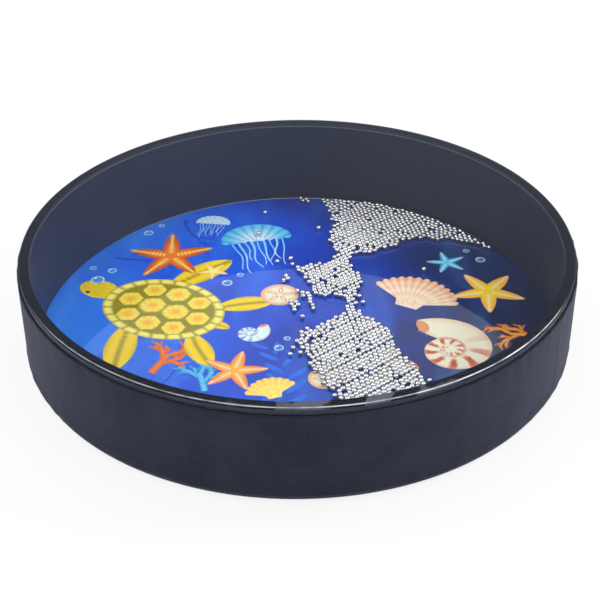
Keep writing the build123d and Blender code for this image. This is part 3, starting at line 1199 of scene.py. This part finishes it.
def settle(number, beads, solid_beads, rng):
    """Shakes a row's beads off their lattice into a loose packing. They stay in the row's own strip,
    so that the rows pass each other, and clear of the wall at both ends of the row's roll."""
    solid = np.array(solid_beads)
    ahead = (half_chord(solid[:, 1]) - solid[:, 0]).min()
    behind = (half_chord(solid[:, 1]) + solid[:, 0]).min()
    half_row = (LINES_PER_ROW - 1) / 2 * LINE_STEP
    reach = math.sqrt(BEAD_REACH**2 - ((ahead + behind) / 2)**2)
    lowest = max(number * ROW_STEP - half_row, -reach)
    highest = min(number * ROW_STEP + half_row, reach)
    home = np.array(beads)
    spot = home + np.array([[rng.gauss(0, SCATTER), rng.gauss(0, SCATTER)] for _ in beads])
    shake = np.random.default_rng(number + SHAKE_SEED)
    for turn in range(SETTLE_ROUNDS):
        between = spot[:, None] - spot[None]
        distance = np.maximum(np.hypot(between[..., 0], between[..., 1]), 0.001)
        np.fill_diagonal(distance, 10.0)
        push = np.clip(TOUCHING - distance, 0, None) / (2 * distance)
        spot = spot + (between * push[..., None]).sum(axis=1)
        if turn < SETTLE_ROUNDS / 2:
            spot += PULL_HOME * (home - spot) + shake.normal(0, SHAKE, spot.shape)
        spot[:, 1] = np.clip(spot[:, 1], lowest, highest)
        limit = half_chord(spot[:, 1])
        spot[:, 0] = np.clip(spot[:, 0], behind - limit, limit - ahead)
    return spot


def bead_material():
    """Polished steel, each ball a little brighter or duller than the next."""
    material, tree, shader = new_material("polished_steel")
    shade = add(tree, "ShaderNodeAttribute", attribute_name="shade").outputs["Fac"]
    grime = noise(tree, 900, detail=2)
    tone = ramp(tree, shade, [(0.0, grey(0.72)), (1.0, (0.88, 0.88, 0.875))])
    tone = mix_colour(tree, maths(tree, "MULTIPLY", grime, 0.2), tone, grey(0.5))
    fill(tree, shader, {"Base Color": tone, "Metallic": 1.0, "Roughness": 0.16})
    return material


def make_beads():
    sphere = bmesh.new()
    bmesh.ops.create_icosphere(sphere, subdivisions=3, radius=BEAD_RADIUS)
    ball = [tuple(vertex.co) for vertex in sphere.verts]
    ball_faces = [[vertex.index for vertex in face.verts] for face in sphere.faces]
    sphere.free()
    steel = bead_material()
    rng = random.Random(43)
    rest = FILM + BEAD_RADIUS + BEAD_LIFT
    for number, (row_number, beads, solid_beads) in enumerate(bead_rows(), start=1):
        points = []
        faces = []
        shades = []
        for along, across in settle(row_number, beads, solid_beads, rng):
            x, y = in_plan(along * BEAD_PITCH, across * BEAD_PITCH)
            base = len(points)
            points += [(x + u, y + v, rest + w) for u, v, w in ball]
            faces += [[base + corner for corner in face] for face in ball_faces]
            shades += [rng.random()] * len(ball)
        name = f"beads_{number:02d}"
        mesh = make_mesh(name, points, faces, sharp_angle=80)
        mesh.attributes.new("shade", "FLOAT", "POINT").data.foreach_set("value", shades)
        row = place(name, mesh, steel)
        node = f"bead_row_{number:02d}"
        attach(row, node)
        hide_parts(node)


# Floor, light and camera, in metres

FLOOR_SIZE = 8
FLOOR_DROP = 0.0002


def seen_rays(tree):
    """1 for rays from the camera, a mirror or glass, which see the white background."""
    path = add(tree, "ShaderNodeLightPath").outputs
    both = maths(tree, "ADD", path["Is Camera Ray"], path["Is Glossy Ray"], clamp=True)
    return maths(tree, "ADD", both, path["Is Transmission Ray"], clamp=True)


def make_floor():
    """A white floor that keeps the drum's shadow, fades to plain white far off, and is clear from below. For
    rays that see it, it glows: a painted light that grows with distance from the drum.
    """
    bpy.ops.mesh.primitive_plane_add(size=FLOOR_SIZE, location=(0, 0, -FLOOR_DROP))
    floor = bpy.context.object
    floor.name = "floor"
    material, tree, shader = new_material("white_floor")
    fill(tree, shader, {"Base Color": (0.86, 0.86, 0.87, 1), "Roughness": 0.9, "Specular IOR Level": 0.1})
    glow = add(tree, "ShaderNodeEmission", {"Color": WHITE, "Strength": 1.0})
    # Painted light: the share of glow rises from 0.86 near the drum to full far off, so the floor turns plain
    # white away from the drum.
    paleness = remap(tree, length(tree, object_coordinates(tree)), 0.4, 1.2, to_low=0.86)
    lit = mix_shaders(tree, maths(tree, "MULTIPLY", seen_rays(tree), paleness), shader, glow)
    below = add(tree, "ShaderNodeNewGeometry").outputs["Backfacing"]
    set_surface(tree, mix_shaders(tree, below, lit, add(tree, "ShaderNodeBsdfTransparent")))
    floor.data.materials.append(material)


def make_light():
    """A white room, a large softbox overhead and a small one on each side."""
    world = bpy.data.worlds.new("studio")
    bpy.context.scene.world = world
    world.use_nodes = True
    tree = world.node_tree
    tree.nodes.clear()
    around = add(tree, "ShaderNodeBackground", {"Color": WHITE, "Strength": 0.56})
    backdrop = add(tree, "ShaderNodeBackground", {"Color": WHITE, "Strength": 1.0})
    both = mix_shaders(tree, seen_rays(tree), around, backdrop)
    add(tree, "ShaderNodeOutputWorld", {"Surface": both.outputs[0]})
    overhead = add_lamp("overhead_softbox", (0, 0.1, 1.5), size=1.9, power=16)
    overhead.visible_glossy = False
    add_lamp("right_softbox", (1.25, 0.2, 0.95), size=0.42, power=9)
    add_lamp("left_softbox", (-1.25, 0.2, 0.95), size=0.42, power=4.4)


def add_lamp(name, location, size, power):
    """A square lamp that faces the middle of the drum."""
    lamp = bpy.data.lights.new(name, "AREA")
    lamp.shape = "SQUARE"
    lamp.size = size
    lamp.energy = power
    holder = bpy.data.objects.new(name, lamp)
    bpy.context.scene.collection.objects.link(holder)
    holder.location = location
    aim = Vector((0, 0, DEPTH / 2 * MM)) - Vector(location)
    holder.rotation_euler = aim.to_track_quat("-Z", "Y").to_euler()
    return holder


def make_camera():
    """The photograph's view: focal length and centre in pixels of its 600 by 600 frame."""
    frame_px = 600
    focal_px = 1304.293
    centre_px = (297.333, 280.489)
    elevation = math.radians(32.4305)
    roll = math.radians(-0.4896)
    distance = 0.973814
    camera = bpy.data.cameras.new("camera")
    camera.sensor_width = 36
    camera.lens = focal_px * camera.sensor_width / frame_px
    camera.shift_x = (frame_px / 2 - centre_px[0]) / frame_px
    camera.shift_y = (centre_px[1] - frame_px / 2) / frame_px
    camera.clip_start = 0.05
    camera.clip_end = 50
    back = Vector((0, -math.cos(elevation), math.sin(elevation)))
    level = Vector((1, 0, 0))
    upright = back.cross(level)
    right = math.cos(roll) * level + math.sin(roll) * upright
    up = -math.sin(roll) * level + math.cos(roll) * upright
    turn = Matrix((right, up, back)).transposed().to_4x4()
    holder = bpy.data.objects.new("camera", camera)
    bpy.context.scene.collection.objects.link(holder)
    holder.matrix_world = Matrix.Translation(Vector((0, 0, DEPTH / 2 * MM)) + back * distance) @ turn
    bpy.context.scene.camera = holder


make_shell()
make_clear_head()
make_printed_head()
band, threads = make_cloth()
make_beads()
make_floor()
make_light()
make_camera()
bpy.context.scene.view_settings.view_transform = "Standard"
